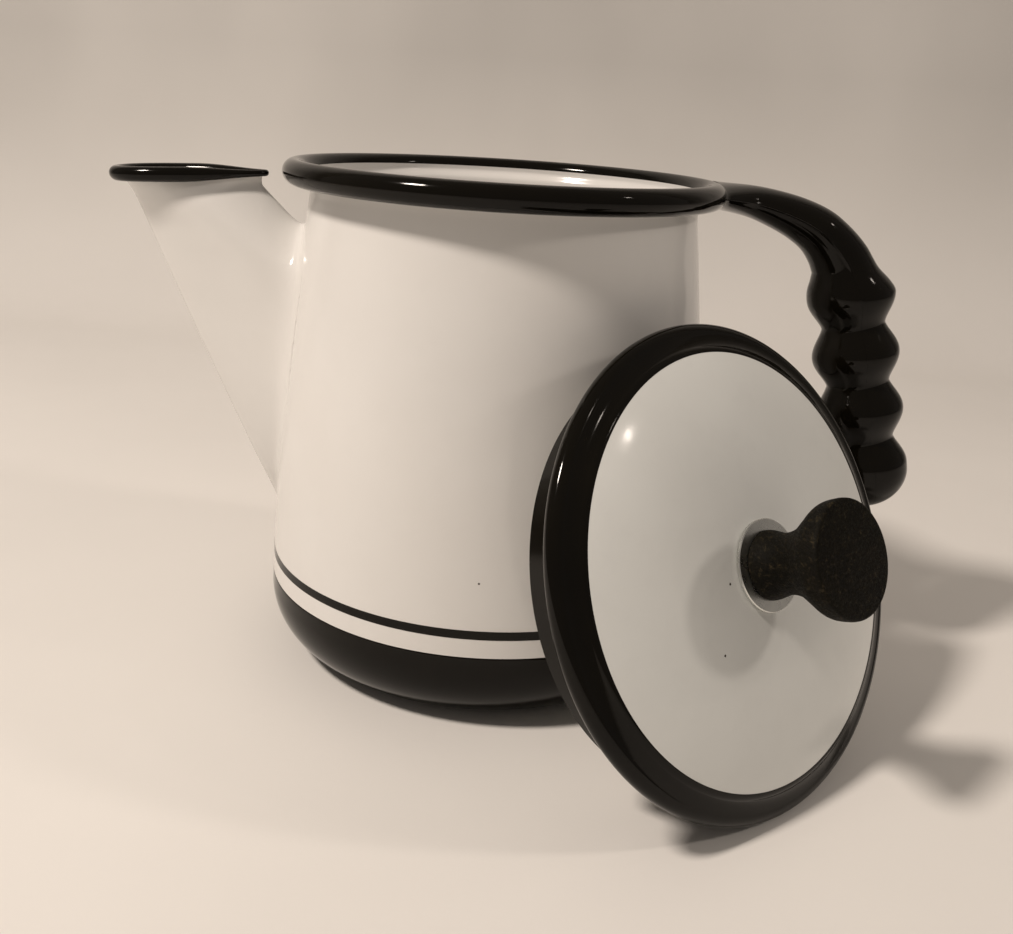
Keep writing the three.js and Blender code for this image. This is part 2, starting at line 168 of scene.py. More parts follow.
def loft(name, rings, endless=False):
    """Joins rings of equal length with quads, with a flat cap on each end of an open loft."""
    count = len(rings[0])
    points = [p for ring in rings for p in ring]
    faces = []
    for i in range(len(rings) if endless else len(rings) - 1):
        here, following = i * count, ((i + 1) % len(rings)) * count
        for j in range(count):
            k = (j + 1) % count
            faces.append([here + j, here + k, following + k, following + j])
    if not endless:
        faces.append(list(range(count)))
        faces.append(list(range((len(rings) - 1) * count, len(rings) * count)))
    return facing_out(add_mesh(name, points, faces))


def apply_modifiers(obj):
    graph = bpy.context.evaluated_depsgraph_get()
    mesh = bpy.data.meshes.new_from_object(obj.evaluated_get(graph), depsgraph=graph)
    obj.modifiers.clear()
    obj.data = mesh
    return obj


def finish_piece(obj, body, slot, material, *nodes):
    """Puts a piece on its body, gives it its finish, and hides the CAD nodes that it stands for."""
    obj.data.materials.clear()
    obj.data.materials.append(material)
    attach(obj, body)
    if nodes:
        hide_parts(*nodes)
    return obj


def smoothstep(x, low, high):
    t = np.clip((x - low) / (high - low), 0.0, 1.0)
    return t * t * (3 - 2 * t)


def through(pairs):
    """A smooth curve through (input, value) pairs, level beyond both ends."""
    xs, ys = (np.array(column, float) for column in zip(*pairs))
    slopes = np.zeros(len(xs))
    slopes[1:-1] = (ys[2:] - ys[:-2]) / (xs[2:] - xs[:-2])

    def value(x):
        x = np.clip(x, xs[0], xs[-1])
        i = np.clip(np.searchsorted(xs, x, side="right") - 1, 0, len(xs) - 2)
        span = xs[i + 1] - xs[i]
        t = (x - xs[i]) / span
        ends = (2 * t**3 - 3 * t**2 + 1) * ys[i] + (3 * t**2 - 2 * t**3) * ys[i + 1]
        return ends + span * ((t**3 - 2 * t**2 + t) * slopes[i] + (t**3 - t**2) * slopes[i + 1])

    return value


# ---- Materials ----
class Shader:
    """A Principled material with a few named helpers for its procedural nodes."""

    def __init__(self, name, **fixed):
        self.material = bpy.data.materials.new(name)
        self.material.use_nodes = True
        self.nodes = self.material.node_tree.nodes
        self.links = self.material.node_tree.links
        self.main = self.nodes["Principled BSDF"]
        self.place = self.nodes.new("ShaderNodeTexCoord").outputs["Object"]
        for socket, value in fixed.items():
            self.main.inputs[socket.replace("_", " ")].default_value = value

    def noise(self, size, detail=3.0, roughness=0.5, stretch=(1, 1, 1), distortion=0.0):
        """Noise whose blobs are about size millimetres across."""
        mapping = self.nodes.new("ShaderNodeMapping")
        mapping.inputs["Scale"].default_value = stretch
        self.links.new(self.place, mapping.inputs["Vector"])
        node = self.nodes.new("ShaderNodeTexNoise")
        node.inputs["Scale"].default_value = 1 / (size * MM)
        node.inputs["Detail"].default_value = detail
        node.inputs["Roughness"].default_value = roughness
        node.inputs["Distortion"].default_value = distortion
        self.links.new(mapping.outputs["Vector"], node.inputs["Vector"])
        return node.outputs["Fac"]

    def ramp(self, value, *stops):
        """A colour ramp with (position, grey or colour) stops."""
        node = self.nodes.new("ShaderNodeValToRGB")
        while len(node.color_ramp.elements) < len(stops):
            node.color_ramp.elements.new(0.5)
        for element, (position, colour) in zip(node.color_ramp.elements, stops):
            element.position = position
            element.color = (*colour, 1) if isinstance(colour, tuple) else (colour,) * 3 + (1,)
        self.links.new(value, node.inputs["Fac"])
        return node.outputs["Color"]

    def mix(self, share, first, second):
        node = self.nodes.new("ShaderNodeMix")
        node.data_type = "RGBA"
        for socket, value in (("Factor", share), ("A", first), ("B", second)):
            target = next(s for s in node.inputs if s.name == socket and s.enabled)
            if isinstance(value, bpy.types.NodeSocket):
                self.links.new(value, target)
            else:
                target.default_value = (*value, 1) if isinstance(value, tuple) else value
        return next(s for s in node.outputs if s.enabled)

    def math(self, operation, first, second):
        node = self.nodes.new("ShaderNodeMath")
        node.operation = operation
        for socket, value in zip(node.inputs, (first, second)):
            if isinstance(value, bpy.types.NodeSocket):
                self.links.new(value, socket)
            else:
                socket.default_value = value
        return node.outputs[0]

    def specks(self, spacing, radius, share):
        """1 inside sparse round specks: one cell in every 1/share holds one."""
        node = self.nodes.new("ShaderNodeTexVoronoi")
        node.inputs["Scale"].default_value = 1 / (spacing * MM)
        self.links.new(self.place, node.inputs["Vector"])
        split = self.nodes.new("ShaderNodeSeparateColor")
        self.links.new(node.outputs["Color"], split.inputs[0])
        chosen = self.math("GREATER_THAN", split.outputs[0], 1 - share)
        near = self.math("LESS_THAN", node.outputs["Distance"], radius / spacing)
        return self.math("MULTIPLY", chosen, near)

    def mark(self, at, radius):
        """1 inside one ragged spot of a radius at a place in the object's millimetres."""
        node = self.nodes.new("ShaderNodeVectorMath")
        node.operation = "DISTANCE"
        self.links.new(self.place, node.inputs[0])
        node.inputs[1].default_value = [c * MM for c in at]
        ragged = self.math("MULTIPLY", self.noise(radius, 3), 0.9 * radius * MM)
        return self.math("LESS_THAN", self.math("ADD", node.outputs["Value"], ragged), 1.4 * radius * MM)

    def set(self, socket, value):
        self.links.new(value, self.main.inputs[socket])

    def bump(self, *layers):
        """Stacks (height, depth in millimetres) layers of bump."""
        below = None
        for height, depth in layers:
            node = self.nodes.new("ShaderNodeBump")
            node.inputs["Strength"].default_value = 1.0
            node.inputs["Distance"].default_value = depth * MM
            self.links.new(height, node.inputs["Height"])
            if below is not None:
                self.links.new(below, node.inputs["Normal"])
            below = node.outputs["Normal"]
        self.links.new(below, self.main.inputs["Normal"])


def white_enamel(name, light, dark, smudge, marks):
    """Glossy white vitreous enamel: cloudy white, orange peel, faint dulling, smudges and pin specks."""
    shader = Shader(name, Specular_IOR_Level=0.5)
    clouds = shader.ramp(shader.noise(60, 4), (0.3, dark), (0.7, light))
    dust = shader.ramp(shader.noise(9, 6, 0.65), (0.5, 0.0), (0.8, smudge))
    cloudy = shader.mix(dust, clouds, tuple(0.8 * c for c in dark))
    spotted = shader.mix(shader.specks(26, 0.3, 0.05), cloudy, (0.16, 0.12, 0.08))
    for at, radius in marks:
        spotted = shader.mix(shader.mark(at, radius), spotted, (0.03, 0.02, 0.012))
    shader.set("Base Color", spotted)
    shader.set("Roughness", shader.ramp(shader.noise(35, 5, 0.6), (0.3, 0.10), (0.75, 0.20)))
    shader.bump((shader.noise(9, 2), 0.02), (shader.noise(1.8, 2), 0.002))
    return shader.material


def black_enamel(name):
    """Glossy black enamel with a soft orange peel, wiped streaks and sparse dust."""
    base = (0.0030, 0.0024, 0.0014)
    shader = Shader(name, Specular_IOR_Level=0.2)
    tone = shader.ramp(shader.noise(30, 4), (0.3, base), (0.8, tuple(1.8 * c for c in base)))
    shader.set("Base Color", shader.mix(shader.specks(9, 0.14, 0.06), tone, (0.10, 0.085, 0.06)))
    shader.set("Roughness", shader.ramp(shader.noise(16, 6, 0.65), (0.35, 0.05), (0.8, 0.13)))
    shader.bump((shader.noise(7, 2), 0.022), (shader.noise(1.4, 3), 0.003))
    return shader.material


def plated_steel(name, tone=(0.66, 0.65, 0.62)):
    """Bright plated steel with fine turning marks and a little tarnish."""
    shader = Shader(name, Metallic=1.0)
    tarnish = shader.ramp(shader.noise(8, 3, 0.5), (0.3, tuple(0.88 * c for c in tone)), (0.7, tone))
    shader.set("Base Color", tarnish)
    shader.set("Roughness", shader.ramp(shader.noise(3, 4), (0.3, 0.24), (0.8, 0.36)))
    shader.bump((shader.noise(2.5, 3, 0.6), 0.003))
    return shader.material


def turned_brass(name):
    """Machined brass, a little dulled."""
    shader = Shader(name, Metallic=1.0)
    dull, bright = (0.45, 0.30, 0.12), (0.66, 0.48, 0.22)
    shader.set("Base Color", shader.ramp(shader.noise(4, 4), (0.3, dull), (0.7, bright)))
    shader.set("Roughness", shader.ramp(shader.noise(1, 3), (0.3, 0.25), (0.8, 0.5)))
    shader.bump((shader.noise(0.4, 2), 0.006))
    return shader.material


def knob_wood(name):
    """Nearly black stained hardwood, worn dull, with fine open grain and paler flecks."""
    shader = Shader(name, Specular_IOR_Level=0.12)
    grain = shader.noise(1.3, 8, 0.75, stretch=(1.0, 0.5, 1.0), distortion=0.4)
    pores = shader.noise(0.5, 4, 0.6, stretch=(1.0, 0.5, 1.0))
    deep, stained, fleck = (0.0016, 0.0013, 0.0005), (0.004, 0.0032, 0.0012), (0.05, 0.038, 0.02)
    tone = shader.ramp(grain, (0.38, deep), (0.55, stained), (0.72, fleck))
    worn = shader.ramp(shader.noise(11, 4, 0.6), (0.5, 0.0), (0.8, 0.25))
    shader.set("Base Color", shader.mix(worn, tone, (0.016, 0.012, 0.006)))
    shader.set("Roughness", shader.ramp(pores, (0.35, 0.8), (0.7, 0.5)))
    shader.bump((grain, 0.22), (pores, 0.10))
    return shader.material


def pale_cloth(name, light, dark):
    """Pale cloth with painted shade: it turns darker where it rises behind the kettle, with broad painted
    fold shading across the rise.
    """
    shader = Shader(name, Roughness=0.95, Specular_IOR_Level=0.1)
    split = shader.nodes.new("ShaderNodeSeparateXYZ")
    shader.links.new(shader.place, split.inputs[0])
    # Painted shade: the rising backdrop gets a darker colour, broken by broad blotches of painted fold
    # shading.
    rise = shader.ramp(shader.math("MULTIPLY", split.outputs["Z"], 2.0), (0.0, 0.0), (0.45, 1.0))
    painted_fold_shade = shader.ramp(shader.noise(260, 3, stretch=(1.0, 1.0, 0.6)), (0.3, 0.0), (0.7, 1.0))
    painted_backdrop_shade = shader.mix(painted_fold_shade, tuple(0.62 * c for c in dark), tuple(0.74 * c for c in light))
    level = shader.ramp(shader.noise(150, 4), (0.3, dark), (0.7, light))
    shader.set("Base Color", shader.mix(rise, level, painted_backdrop_shade))
    shader.bump((shader.noise(1.5, 3, 0.6), 0.03))
    return shader.material


# Dark pin specks: each is a place and a radius. The lid's are given in the lid's own frame.
POT_MARKS = [((-0.97, -74.2, 51.04), 0.35)]
MARKS_ON_LID = [((-16.4, -1.3, 6.03), 0.4), ((-23.8, -18.7, 5.5), 0.35)]
LID_MARKS = [(tuple(LID @ (Vector(at) * MM) / MM), radius) for at, radius in MARKS_ON_LID]
WHITE = white_enamel("white_enamel", (0.80, 0.79, 0.77), (0.76, 0.745, 0.72), 0.06, POT_MARKS)
LID_LIGHT, LID_DARK = (0.76, 0.775, 0.755), (0.70, 0.71, 0.69)
LID_WHITE = white_enamel("lid_white_enamel", LID_LIGHT, LID_DARK, 0.12, LID_MARKS)
BLACK = black_enamel("black_enamel")
STEEL = plated_steel("plated_steel")
WASHER = plated_steel("satin_washer", (0.78, 0.79, 0.76))
BRASS = turned_brass("turned_brass")
WOOD = knob_wood("knob_wood")


# ---- Pot ----
neck = through(NECK)
NECK_FROM = NECK[1][0]


def wall_radius(z):
    """Outside radius of the pot's wall at a height."""
    t = z / POT_HEIGHT
    bowed = FOOT_RADIUS + (TOP_RADIUS - FOOT_RADIUS) * t + 4 * WALL_BULGE * t * (1 - t)
    return np.where(z > NECK_FROM, neck(z), bowed)


STRAINER_RADIUS, STRAINER_PITCH, STRAINER_COLUMNS, STRAINER_DRILL = 2.4, 9.0, 5, 20.0
STRAINER_LOW, STRAINER_HIGH, STRAINER_MARGIN = 68.0, 125.0, 6.0


def strainer_spots():
    """(y, z) of each small hole through the wall behind the spout, in staggered rows."""
    spots = []
    for row in range(int((STRAINER_HIGH - STRAINER_LOW) / STRAINER_PITCH) + 1):
        z = STRAINER_LOW + row * STRAINER_PITCH
        shift = STRAINER_PITCH / 2 if row % 2 else 0.0
        for step in range(STRAINER_COLUMNS):
            y = shift + (step - STRAINER_COLUMNS // 2) * STRAINER_PITCH
            if abs(y) <= spout_half_width(z) - STRAINER_MARGIN:
                spots.append((y, z))
    return spots


def make_body_wall():
    levels = list(np.linspace(PAN_TOP + 0.02, NECK_FROM, 60))
    levels += list(np.linspace(NECK_FROM + 0.5, BEAD_Z - 0.4, 50))
    outer = [(float(wall_radius(z)), z) for z in levels]
    inner = [(float(wall_radius(z)) - SHEET, z) for z in reversed(levels)]
    inner = [(BEAD_RING - BEAD_RADIUS - 0.12, BEAD_Z + 0.8)] + inner
    outer = outer + [(BEAD_RING - BEAD_RADIUS + 0.5, BEAD_Z + 0.8)]
    wall = lathe("enamelled_body_wall", outer + inner, segments=320)
    drills = bmesh.new()
    for y, z in strainer_spots():
        spot = Vector((-wall_radius(z), y, z)) * MM
        bmesh.ops.create_cone(
            drills, cap_ends=True, segments=24, radius1=STRAINER_RADIUS * MM,
            radius2=STRAINER_RADIUS * MM, depth=STRAINER_DRILL * MM,
            matrix=Matrix.Translation(spot) @ Matrix.Rotation(pi / 2, 4, "Y"),
        )
    mesh = bpy.data.meshes.new("drills")
    drills.to_mesh(mesh)
    drills.free()
    tool = bpy.data.objects.new("drills", mesh)
    bpy.context.scene.collection.objects.link(tool)
    cutter = wall.modifiers.new("holes", "BOOLEAN")
    cutter.object = tool
    cutter.operation = "DIFFERENCE"
    apply_modifiers(wall)
    bpy.data.objects.remove(tool)
    return wall


def make_base_pan():
    """The pan, with a shallow recess underneath and a collar lapped inside the wall."""
    flat = float(wall_radius(PAN_CORNER)) - PAN_CORNER
    lap = float(wall_radius(PAN_TOP)) - SHEET - SEAM
    recess, floor, lap_top = 0.7, 1.9, PAN_TOP + 6.0
    profile = [(0.0, recess), (flat - 9, recess), (flat - 7, recess - 0.1), (flat - 5, 0.1), (flat - 4, 0.0)]
    profile += arc(flat, PAN_CORNER, PAN_CORNER, -90, 0, 40)
    profile += [(float(wall_radius(z)), z) for z in np.linspace(PAN_CORNER + 1, PAN_TOP - 0.15, 6)]
    profile += [(float(wall_radius(PAN_TOP)) - 0.12, PAN_TOP), (lap, PAN_TOP)]
    profile += [(lap - 0.1, lap_top - 0.2), (lap - 0.3, lap_top), (lap - 0.7, lap_top)]
    profile += [(lap - SHEET, lap_top - 0.4)]
    profile += [(lap - SHEET, PAN_TOP - SHEET)]
    profile += arc(flat, PAN_CORNER, PAN_CORNER - floor, 0, -90, 36)
    profile += [(flat - 4, floor), (0.0, floor)]
    return lathe("enamelled_base_pan", profile, closed=False, segments=320)


def make_stripe():
    low, high = STRIPE
    proud = 0.05
    levels = list(np.linspace(low, high, 5))
    outer = [(float(wall_radius(z)) + proud, z) for z in levels]
    inner = [(float(wall_radius(z)) - 0.1, z) for z in reversed(levels)]
    return lathe("painted_stripe", outer + inner, segments=320)


def make_rim_bead():
    """The rolled rim, with a short lip down the inside of the mouth."""
    profile = [(BEAD_RING - BEAD_RADIUS + 0.3, BEAD_Z + 0.5)]
    profile += arc(BEAD_RING, BEAD_Z, BEAD_RADIUS + 0.03, 169, -150, 56)
    return lathe("rolled_rim_bead", profile, segments=320)


# ---- Spout ----
SPOUT_FOOT, SPOUT_TOP, MOUTH_FRONT, MOUTH_SLANT, SLANT_START = 45.0, 156.4, -126.3, 0.0532, 135.0
spout_half_width = through([
    (45, 2.4), (60, 10.5), (75, 15.5), (90, 18), (105, 18), (120, 16.3), (135, 13.6), (150, 10.6),
    (156.4, 10),
])
spout_tail = through(
    [(128, -50), (134, -58), (140, -64.9), (146, -71.8), (151, -77.4), (153.6, -79.6), (156.4, -79.2)]
)
spout_widest = through([(45, -64), (110, -62), (128, -70), (140, -84), (150, -100), (156.4, -110)])
nose_round = through([(45, 0.5), (100, 0.36), (140, 0.5), (156.4, 0.8)])
flank_start = through([(45, 0.4), (100, 0.2), (140, 0.35), (156.4, 0.55)])
tail_round = through([(100, 0.9), (128, 0.6), (136, 0.42), (146, 0.28), (156.4, 0.14)])
mouth_flare = through([(150, 0), (156.4, 0.9)])


def spout_front(z):
    t = (z - SPOUT_FOOT) / (SPOUT_TOP - SPOUT_FOOT)
    return -74.5 - 49.1 * t - 4 * t * (1 - t) - mouth_flare(z)


def bezier(a, b, c, d, t):
    return (1 - t) ** 3 * a + 3 * (1 - t) ** 2 * t * b + 3 * (1 - t) * t**2 * c + t**3 * d


def spout_side(z, nose_steps=30, tail_steps=22):
    """The +Y half of the spout's level outlines at heights z, nose to tail: arrays of x and y."""
    z = np.atleast_1d(np.asarray(z, float))[:, None]
    front, half, tail, wide = spout_front(z), spout_half_width(z), spout_tail(z), spout_widest(z)
    t = np.linspace(0, 1, nose_steps + 1)[None, :] ** 1.4
    nose_x = bezier(front, front, wide + flank_start(z) * (front - wide), wide, t)
    nose_y = bezier(0.0, nose_round(z) * half, half, half, t)
    t = np.linspace(0, 1, tail_steps + 1)[None, 1:]
    back_x = bezier(wide, wide + 0.5 * (tail - wide), tail, tail, t)
    back_y = bezier(half, half, tail_round(z) * half, 0.0, t)
    return np.hstack([nose_x, back_x]), np.hstack([nose_y, back_y])


def mouth_lift(x, z):
    return z + smoothstep(z, SLANT_START, SPOUT_TOP) * MOUTH_SLANT * (x - MOUTH_FRONT)


def unlifted(x, z):
    """The spout height whose slanted outline passes through x at height z."""
    height = z
    for _ in range(4):
        height = z - (mouth_lift(x, height) - height)
    return height


def spout_distance(x, y, z):
    """Signed level distance to the spout's outside, negative inside."""
    outline_x, outline_y = spout_side(unlifted(x, z))
    across = np.abs(y)
    ax, ay = outline_x[:, :-1], outline_y[:, :-1]
    dx, dy = np.diff(outline_x, axis=1), np.diff(outline_y, axis=1)
    along = ((x[:, None] - ax) * dx + (across[:, None] - ay) * dy) / np.maximum(dx**2 + dy**2, 1e-12)
    along = np.clip(along, 0, 1)
    away = np.hypot(x[:, None] - ax - along * dx, across[:, None] - ay - along * dy).min(1)
    spans = (ax <= x[:, None]) & (x[:, None] < outline_x[:, 1:])
    level = (ay + (x[:, None] - ax) * dy / np.maximum(dx, 1e-9)) * spans
    inside = spans.any(1) & (across < level.max(1))
    return np.where(inside, -away, away)


def wall_distance(x, y, z):
    """Signed level distance to the wall's outside, negative inside."""
    return np.hypot(x, y) - wall_radius(z)


def fillet_reach(z):
    """How far the enamel fillet beside the spout spreads at a height."""
    return 3.8 + 6.7 * smoothstep(z, 55.0, 115.0)


SPOUT_STEEP = 0.93  # share of the level distance that is left across the sloping spout
SUNK = 0.006  # how far the fillet's edge dips under the wall


def blended(p):
    """Smooth union of the spout and the wall: its zero surface is the spout with an enamel fillet,
    which dips just under the wall where the fillet ends."""
    x, y, z = p.T
    spout, wall = SPOUT_STEEP * spout_distance(x, y, z), wall_distance(x, y, z)
    reach = fillet_reach(z)
    near = np.maximum(reach - np.abs(spout - wall), 0) / reach
    return np.minimum(spout, wall) - near**3 * reach / 6 + SUNK


def gradient(field, p, step=0.05):
    columns = []
    for axis in range(3):
        shift = np.zeros(3)
        shift[axis] = step
        columns.append((field(p + shift) - field(p - shift)) / (2 * step))
    return np.stack(columns, 1)


def surface_net(field, low, high, pitch):
    """Points and quads on the zero surface of a field, on a regular grid."""
    axes = [np.arange(a, b + pitch, pitch) for a, b in zip(low, high)]
    shape = tuple(len(a) for a in axes)
    values = np.empty(shape)
    xy = np.stack(np.meshgrid(axes[0], axes[1], indexing="ij"), -1).reshape(-1, 2)
    for k, z in enumerate(axes[2]):
        values[:, :, k] = field(np.column_stack([xy, np.full(len(xy), z)])).reshape(shape[:2])
    inside = values < 0
    cell_shape = tuple(n - 1 for n in shape)
    total, hits = np.zeros(cell_shape + (3,)), np.zeros(cell_shape)
    corner = lambda i, j, k: tuple(slice(o, o + n) for o, n in zip((i, j, k), cell_shape))
    for axis in range(3):
        others = [a for a in range(3) if a != axis]
        for first in (0, 1):
            for second in (0, 1):
                start = [0, 0, 0]
                start[others[0]], start[others[1]] = first, second
                end = list(start)
                end[axis] = 1
                a, b = values[corner(*start)], values[corner(*end)]
                crossing = (a < 0) != (b < 0)
                share = np.where(crossing, a / np.where(crossing, a - b, 1), 0)
                spot = np.stack(np.broadcast_arrays(*[float(s) + 0 * share for s in start]), -1)
                spot[..., axis] = share
                total += spot * crossing[..., None]
                hits += crossing
    used = hits > 0
    index = np.full(cell_shape, -1)
    index[used] = np.arange(used.sum())
    cells = np.argwhere(used)
    points = np.array(low) + (cells + total[used] / hits[used][:, None]) * pitch
    quads = []
    for axis in range(3):
        others = [a for a in range(3) if a != axis]
        ahead = [slice(None)] * 3
        ahead[axis] = slice(1, None)
        behind = [slice(None)] * 3
        behind[axis] = slice(None, -1)
        change = inside[tuple(behind)] != inside[tuple(ahead)]
        for spot in np.argwhere(change):
            if spot[others[0]] == 0 or spot[others[1]] == 0:
                continue
            if any(spot[o] >= cell_shape[o] for o in others) or spot[axis] >= cell_shape[axis]:
                continue
            around = []
            for first, second in ((0, 0), (-1, 0), (-1, -1), (0, -1)):
                cell = spot.copy()
                cell[others[0]] += first
                cell[others[1]] += second
                around.append(int(index[tuple(cell)]))
            turn = inside[tuple(spot)] != (axis == 1)
            quads.append(around if turn else around[::-1])
    return points, quads


def mouth_plane(x):
    """Height of the slanted mouth, just above the shell's edge."""
    return SPOUT_TOP + MOUTH_SLANT * (x - MOUTH_FRONT) + 0.5


def make_spout_shell():
    """The spout and its fillet, netted on a grid and then drawn onto the blended surface."""
    low, high, pitch = (-131.0, -24.0, 40.0), (-58.0, 24.0, 163.0), 1.0
    points, quads = surface_net(blended, low, high, pitch)
    mouth = mouth_plane(points[:, 0])
    over = points[:, 2] > mouth
    quads = [q for q in quads if not all(over[i] for i in q)]
    for _ in range(4):
        slope = gradient(blended, points)
        slope[over, 2] = 0
        length = np.maximum((slope**2).sum(1), 1e-6)[:, None]
        points = points - blended(points)[:, None] * slope / length
        points[over, 2] = mouth_plane(points[:, 0])[over]
    close = SPOUT_STEEP * spout_distance(*points.T) < fillet_reach(points[:, 2]) + 1.5
    quads = [q for q in quads if all(close[i] for i in q)]
    shell = add_mesh("enamelled_spout_shell", points, quads, sharp=60)
    build = bmesh.new()
    build.from_mesh(shell.data)
    loose = [v for v in build.verts if not v.link_faces]
    bmesh.ops.delete(build, geom=loose, context="VERTS")
    build.to_mesh(shell.data)
    build.free()
    sheet = shell.modifiers.new("sheet", "SOLIDIFY")
    sheet.thickness = (SHEET - 0.1) * MM
    sheet.offset = -1
    return apply_modifiers(shell)


MOUTH_BEAD, TAIL_BEAD, BEAD_OVERHANG, BEAD_THINS_FROM = 2.37, 1.05, 0.75, -104.0


def make_spout_rim():
    x, y = (a[0] for a in spout_side(SPOUT_TOP, 44, 40))
    path = np.column_stack([np.concatenate([x, x[-2:0:-1]]), np.concatenate([y, -y[-2:0:-1]])])
    rings = []
    turns = np.linspace(0, 2 * pi, 28, endpoint=False)
    for i, spot in enumerate(path):
        along = path[(i + 1) % len(path)] - path[i - 1]
        along /= np.linalg.norm(along)
        out = np.array([-along[1], along[0]])
        share = smoothstep(spot[0], BEAD_THINS_FROM, float(spout_tail(SPOUT_TOP)))
        radius = MOUTH_BEAD + (TAIL_BEAD - MOUTH_BEAD) * share
        centre = spot + out * BEAD_OVERHANG * radius
        z = mouth_lift(centre[0], SPOUT_TOP) + 0.3
        rings.append([
            (centre[0] + radius * cos(a) * out[0], centre[1] + radius * cos(a) * out[1], z + radius * sin(a))
            for a in turns
        ])
    return loft("rolled_spout_rim", rings, endless=True)


# ---- Handle ----
ARM = [  # centre x and z, half depth, half width, and the outward side's angle above +X in degrees
    (68.4, 161.1, 4.3, 19.5, 87), (71, 160.9, 4.4, 16, 86), (80.5, 159.9, 5.1, 10.6, 82),
    (89, 157.9, 6.0, 9.4, 76), (97, 155.2, 6.9, 9.0, 68), (103.9, 151.7, 7.8, 9.0, 58),
    (109.1, 147.2, 8.7, 9.2, 45), (112.6, 143.1, 9.6, 9.7, 33), (114.15, 140.9, 10.1, 10.0, 21),
    (115.4, 138, 11.3, 10.8, 16.5), (117.35, 134.35, 13.6, 12.2, 13.2),
]
GRIP_X, GRIP_Z, GRIP_LEAN, GRIP_PITCH, GRIP_BEADS = 118.8, 131.0, 0.236, 20.35, 4
GRIP_RADIUS, GRIP_NOTCH, GRIP_FLATTEN, GRIP_END, GRIP_SHEET = 14.6, 10.5, 0.88, 13.1, 1.0
GRIP_ROUND = 2.0  # straight stretch between the last bead's middle and the rounded end
GRIP_LAST = (GRIP_BEADS - 1) * GRIP_PITCH + GRIP_ROUND
SEAM_RIDGE, SEAM_WIDTH, SEAM_FADES = 0.3, 0.45, (128, 142)


def grip_depth(along):
    """Half depth of the grip, along mm below the first finger bead's middle."""
    end = GRIP_RADIUS * np.sqrt(np.maximum(0, 1 - ((along - GRIP_LAST) / GRIP_END) ** 2))
    swell = np.abs(np.cos(pi * along / GRIP_PITCH)) ** 1.4
    waves = GRIP_NOTCH + (GRIP_RADIUS - GRIP_NOTCH) * swell
    waves = np.where(along > GRIP_LAST - GRIP_ROUND, GRIP_RADIUS, waves)
    return np.where(along > GRIP_LAST, end, waves)


def handle_stations():
    """Arrays of x, z, half depth, half width and outward angle along the handle, rim to tip."""
    along = np.concatenate([
        np.linspace(0, GRIP_LAST, 110),
        GRIP_LAST + GRIP_END * np.sin(np.linspace(0, pi / 2, 26))[1:-1],
        [GRIP_LAST + GRIP_END * 0.9995],
    ])
    depth = grip_depth(along)
    drop = sqrt(1 - GRIP_LEAN**2)
    lean = np.full_like(along, degrees(asin(GRIP_LEAN)))
    x, z = GRIP_X + GRIP_LEAN * along, GRIP_Z - drop * along
    grip = np.column_stack([x, z, depth, depth * GRIP_FLATTEN, lean])
    knots = np.vstack([np.array(ARM, float), grip[[0, 6, 12]]])
    steps = np.concatenate([[0], np.cumsum(np.hypot(*np.diff(knots[:, :2], axis=0).T))])
    curves = [through(list(zip(steps, column))) for column in knots.T]
    where = np.linspace(0, steps[len(ARM)], 90)[:-1]
    arm = np.column_stack([curve(where) for curve in curves])
    return np.vstack([arm, grip])


def make_handle_half(name, sign):
    """One pressed half of the hollow handle. sign is 1 for the outer half, -1 for the inner one.
    A low ridge along the welded seam fades out where the finger beads start."""
    angles = pi * (1 - np.cos(np.linspace(0, pi, 43))) / 2
    rings = []
    for x, z, depth, width, angle in handle_stations():
        out_x, out_z = cos(radians(angle)), sin(radians(angle))
        seam = SEAM_RIDGE * smoothstep(z, *SEAM_FADES)
        ring = []
        for inner in (False, True):
            shrink = GRIP_SHEET if inner else 0.0
            d, w = max(depth - shrink, 0.4 * depth), max(width - shrink, 0.4 * width)
            for a in (angles[::-1] if inner else angles):
                ridge = 0.0 if inner else seam * np.exp(-((sin(a) * d / SEAM_WIDTH) ** 2))
                outward = sign * ((d - 0.02) * sin(a) + 0.02)
                across = (w + ridge) * cos(a)
                ring.append((x + outward * out_x, across, z + outward * out_z))
        rings.append(ring)
    return loft(name, rings)


# ---- Lid, drawn about its own axis with its face up ----
DOME_HEIGHT, DOME_RADIUS, DOME_POWER, SHOULDER = 6.1, 61.25, 3.4, 2.5
LID_BEAD_RING, LID_BEAD_H, LID_BEAD_RADIUS = 67.5, -5.0, 2.93
FLANGE_RADIUS, FLANGE_TOP, FLANGE_BOTTOM = 61.6, -1.5, -22.2
LID_EDGE_SHEET = 0.7
KNOB_FOOT, KNOB_FACE, KNOB_EDGE, INSERT_RADIUS, INSERT_TOP = 7.7, 33.8, 0.7, 4.3, 20.0


def dome_top(radius):
    """Height of the lid's face at a distance from its axis."""
    return DOME_HEIGHT * (1 - (radius / DOME_RADIUS) ** DOME_POWER)


def make_lid_dome():
    radii = np.linspace(2.4, DOME_RADIUS, 60)
    top = [(r, dome_top(r)) for r in radii]
    under = [(r, dome_top(r) - SHEET) for r in radii[::-1]]
    return lathe("enamelled_lid_dome", top + under, segments=320, place=LID)


